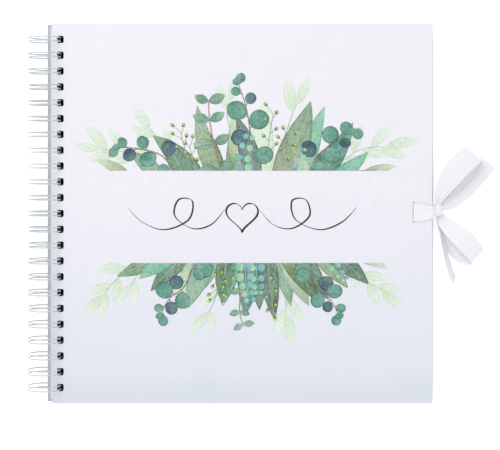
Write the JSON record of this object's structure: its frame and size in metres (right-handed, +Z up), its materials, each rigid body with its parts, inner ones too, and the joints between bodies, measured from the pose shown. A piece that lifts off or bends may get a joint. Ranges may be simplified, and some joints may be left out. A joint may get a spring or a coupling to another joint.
{
  "type": "wedding guest book",
  "caption": "Square hard-cover guest book with loose card leaves on a twin-loop wire, foliage-printed cover and a satin ribbon tie.",
  "frame": {"origin": "middle of the closed book's box, wire and bow included, at the height of the loops' lowest point", "axes": "+X from the binding to the fore edge, +Y to the head of the book, +Z up, square to the covers"},
  "size_m": [0.3766, 0.305, 0.0268],
  "materials": {
    "board": "grey board",
    "cover_paper": "matt white wrapping paper with a fine laid grain, printed with foliage",
    "lining_paper": "matt white",
    "leaf_card": "smooth white card",
    "wire": "white coated steel wire",
    "ribbon": "white satin"
  },
  "bodies": {
    "back_cover": {"back_board": "board", "back_wrap": "cover_paper", "back_lining": "lining_paper", "twin_loop_wire": "wire", "back_ribbon": "ribbon"},
    "front_cover": {"front_board": "board", "front_wrap": "cover_paper", "front_lining": "lining_paper", "front_ribbon": "ribbon"},
    "leaf_01": {"leaf_01": "leaf_card"},
    "leaf_02": {"leaf_02": "leaf_card"},
    "leaf_03": {"leaf_03": "leaf_card"},
    "leaf_04": {"leaf_04": "leaf_card"},
    "leaf_05": {"leaf_05": "leaf_card"},
    "leaf_06": {"leaf_06": "leaf_card"},
    "leaf_07": {"leaf_07": "leaf_card"},
    "leaf_08": {"leaf_08": "leaf_card"},
    "leaf_09": {"leaf_09": "leaf_card"},
    "leaf_10": {"leaf_10": "leaf_card"},
    "leaf_11": {"leaf_11": "leaf_card"},
    "leaf_12": {"leaf_12": "leaf_card"},
    "leaf_13": {"leaf_13": "leaf_card"},
    "leaf_14": {"leaf_14": "leaf_card"},
    "leaf_15": {"leaf_15": "leaf_card"},
    "leaf_16": {"leaf_16": "leaf_card"},
    "leaf_17": {"leaf_17": "leaf_card"},
    "leaf_18": {"leaf_18": "leaf_card"},
    "leaf_19": {"leaf_19": "leaf_card"},
    "leaf_20": {"leaf_20": "leaf_card"}
  },
  "joints": [
    {"name": "front_cover_hinge", "type": "hinge", "parent": "back_cover", "child": "front_cover", "pos_m": [-0.17489, 0, 0.0134], "axis": [0, -1, 0], "range_deg": [0, 180]},
    {"name": "leaf_01_hinge", "type": "hinge", "parent": "back_cover", "child": "leaf_01", "pos_m": [-0.17489, 0, 0.0134], "axis": [0, -1, 0], "range_deg": [0, 180]},
    {"name": "leaf_02_hinge", "type": "hinge", "parent": "back_cover", "child": "leaf_02", "pos_m": [-0.17489, 0, 0.0134], "axis": [0, -1, 0], "range_deg": [0, 180]},
    {"name": "leaf_03_hinge", "type": "hinge", "parent": "back_cover", "child": "leaf_03", "pos_m": [-0.17489, 0, 0.0134], "axis": [0, -1, 0], "range_deg": [0, 180]},
    {"name": "leaf_04_hinge", "type": "hinge", "parent": "back_cover", "child": "leaf_04", "pos_m": [-0.17489, 0, 0.0134], "axis": [0, -1, 0], "range_deg": [0, 180]},
    {"name": "leaf_05_hinge", "type": "hinge", "parent": "back_cover", "child": "leaf_05", "pos_m": [-0.17489, 0, 0.0134], "axis": [0, -1, 0], "range_deg": [0, 180]},
    {"name": "leaf_06_hinge", "type": "hinge", "parent": "back_cover", "child": "leaf_06", "pos_m": [-0.17489, 0, 0.0134], "axis": [0, -1, 0], "range_deg": [0, 180]},
    {"name": "leaf_07_hinge", "type": "hinge", "parent": "back_cover", "child": "leaf_07", "pos_m": [-0.17489, 0, 0.0134], "axis": [0, -1, 0], "range_deg": [0, 180]},
    {"name": "leaf_08_hinge", "type": "hinge", "parent": "back_cover", "child": "leaf_08", "pos_m": [-0.17489, 0, 0.0134], "axis": [0, -1, 0], "range_deg": [0, 180]},
    {"name": "leaf_09_hinge", "type": "hinge", "parent": "back_cover", "child": "leaf_09", "pos_m": [-0.17489, 0, 0.0134], "axis": [0, -1, 0], "range_deg": [0, 180]},
    {"name": "leaf_10_hinge", "type": "hinge", "parent": "back_cover", "child": "leaf_10", "pos_m": [-0.17489, 0, 0.0134], "axis": [0, -1, 0], "range_deg": [0, 180]},
    {"name": "leaf_11_hinge", "type": "hinge", "parent": "back_cover", "child": "leaf_11", "pos_m": [-0.17489, 0, 0.0134], "axis": [0, -1, 0], "range_deg": [0, 180]},
    {"name": "leaf_12_hinge", "type": "hinge", "parent": "back_cover", "child": "leaf_12", "pos_m": [-0.17489, 0, 0.0134], "axis": [0, -1, 0], "range_deg": [0, 180]},
    {"name": "leaf_13_hinge", "type": "hinge", "parent": "back_cover", "child": "leaf_13", "pos_m": [-0.17489, 0, 0.0134], "axis": [0, -1, 0], "range_deg": [0, 180]},
    {"name": "leaf_14_hinge", "type": "hinge", "parent": "back_cover", "child": "leaf_14", "pos_m": [-0.17489, 0, 0.0134], "axis": [0, -1, 0], "range_deg": [0, 180]},
    {"name": "leaf_15_hinge", "type": "hinge", "parent": "back_cover", "child": "leaf_15", "pos_m": [-0.17489, 0, 0.0134], "axis": [0, -1, 0], "range_deg": [0, 180]},
    {"name": "leaf_16_hinge", "type": "hinge", "parent": "back_cover", "child": "leaf_16", "pos_m": [-0.17489, 0, 0.0134], "axis": [0, -1, 0], "range_deg": [0, 180]},
    {"name": "leaf_17_hinge", "type": "hinge", "parent": "back_cover", "child": "leaf_17", "pos_m": [-0.17489, 0, 0.0134], "axis": [0, -1, 0], "range_deg": [0, 180]},
    {"name": "leaf_18_hinge", "type": "hinge", "parent": "back_cover", "child": "leaf_18", "pos_m": [-0.17489, 0, 0.0134], "axis": [0, -1, 0], "range_deg": [0, 180]},
    {"name": "leaf_19_hinge", "type": "hinge", "parent": "back_cover", "child": "leaf_19", "pos_m": [-0.17489, 0, 0.0134], "axis": [0, -1, 0], "range_deg": [0, 180]},
    {"name": "leaf_20_hinge", "type": "hinge", "parent": "back_cover", "child": "leaf_20", "pos_m": [-0.17489, 0, 0.0134], "axis": [0, -1, 0], "range_deg": [0, 180]}
  ],
  "couplings": [
    {"joint": "leaf_01_hinge", "follows": "front_cover_hinge", "ratio": 0.999},
    {"joint": "leaf_02_hinge", "follows": "front_cover_hinge", "ratio": 0.998},
    {"joint": "leaf_03_hinge", "follows": "front_cover_hinge", "ratio": 0.997},
    {"joint": "leaf_04_hinge", "follows": "front_cover_hinge", "ratio": 0.996},
    {"joint": "leaf_05_hinge", "follows": "front_cover_hinge", "ratio": 0.995},
    {"joint": "leaf_06_hinge", "follows": "front_cover_hinge", "ratio": 0.994},
    {"joint": "leaf_07_hinge", "follows": "front_cover_hinge", "ratio": 0.993},
    {"joint": "leaf_08_hinge", "follows": "front_cover_hinge", "ratio": 0.992},
    {"joint": "leaf_09_hinge", "follows": "front_cover_hinge", "ratio": 0.991},
    {"joint": "leaf_10_hinge", "follows": "front_cover_hinge", "ratio": 0.99},
    {"joint": "leaf_11_hinge", "follows": "front_cover_hinge", "ratio": 0.01},
    {"joint": "leaf_12_hinge", "follows": "front_cover_hinge", "ratio": 0.009},
    {"joint": "leaf_13_hinge", "follows": "front_cover_hinge", "ratio": 0.008},
    {"joint": "leaf_14_hinge", "follows": "front_cover_hinge", "ratio": 0.007},
    {"joint": "leaf_15_hinge", "follows": "front_cover_hinge", "ratio": 0.006},
    {"joint": "leaf_16_hinge", "follows": "front_cover_hinge", "ratio": 0.005},
    {"joint": "leaf_17_hinge", "follows": "front_cover_hinge", "ratio": 0.004},
    {"joint": "leaf_18_hinge", "follows": "front_cover_hinge", "ratio": 0.003},
    {"joint": "leaf_19_hinge", "follows": "front_cover_hinge", "ratio": 0.002},
    {"joint": "leaf_20_hinge", "follows": "front_cover_hinge", "ratio": 0.001}
  ]
}
